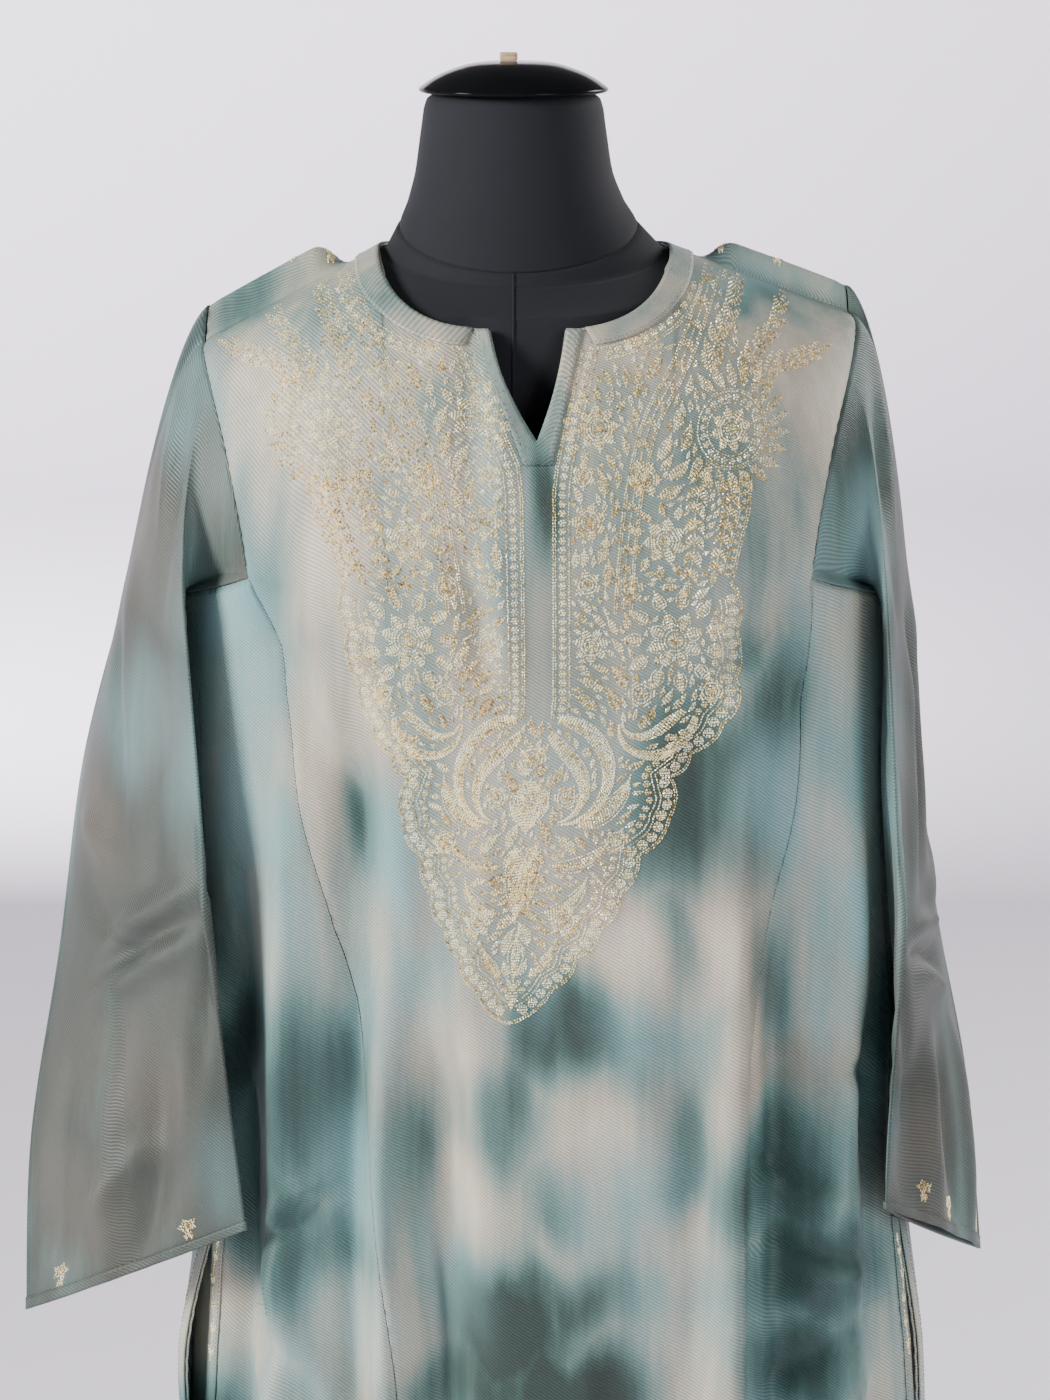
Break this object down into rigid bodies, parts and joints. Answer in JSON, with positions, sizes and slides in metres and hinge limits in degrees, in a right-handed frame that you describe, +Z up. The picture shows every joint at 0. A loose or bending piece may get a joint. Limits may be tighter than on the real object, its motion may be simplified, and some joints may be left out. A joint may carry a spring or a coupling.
{
  "type": "pheran on a dress form",
  "caption": "Long loose tunic with wide sleeves, an embroidered front, a slit neck and side pockets, worn by a limbless dress form on a pole stand.",
  "frame": {"origin": "the middle of the stand base's underside, on the floor", "axes": "+Z up, the front towards -Y, +X to the right as seen from the front"},
  "size_m": [0.6244, 0.4, 1.5139],
  "materials": {
    "twill": "soft sheen twill, dyed in smeared patches of grey-green, blue-green and beige",
    "twill_edge": "the same twill, turned or faced",
    "pocket_lining": "plain matte cotton",
    "gold_thread": "metallic thread in chain and satin stitch",
    "form_cover": "tight matte jersey",
    "form_cap": "polished lacquer",
    "peg_wood": "bare",
    "stand_metal": "satin black"
  },
  "bodies": {
    "root": {"front_centre": "twill", "back_centre": "twill", "front_side_left": "twill", "back_side_left": "twill", "front_side_right": "twill", "back_side_right": "twill", "sleeve_left": "twill", "sleeve_right": "twill", "cuff_hem_left": "twill_edge", "cuff_hem_right": "twill_edge", "neck_band": "twill_edge", "slit_facing": "twill_edge", "pocket_edge_front_left": "twill_edge", "pocket_edge_back_left": "twill_edge", "pocket_edge_front_right": "twill_edge", "pocket_edge_back_right": "twill_edge", "pocket_lining_left": "pocket_lining", "form_torso": "form_cover", "form_neck": "form_cover", "form_cap": "form_cap", "cap_peg": "peg_wood", "stand_pole": "stand_metal", "stand_collar": "stand_metal", "stand_base": "stand_metal"}
  },
  "joints": []
}
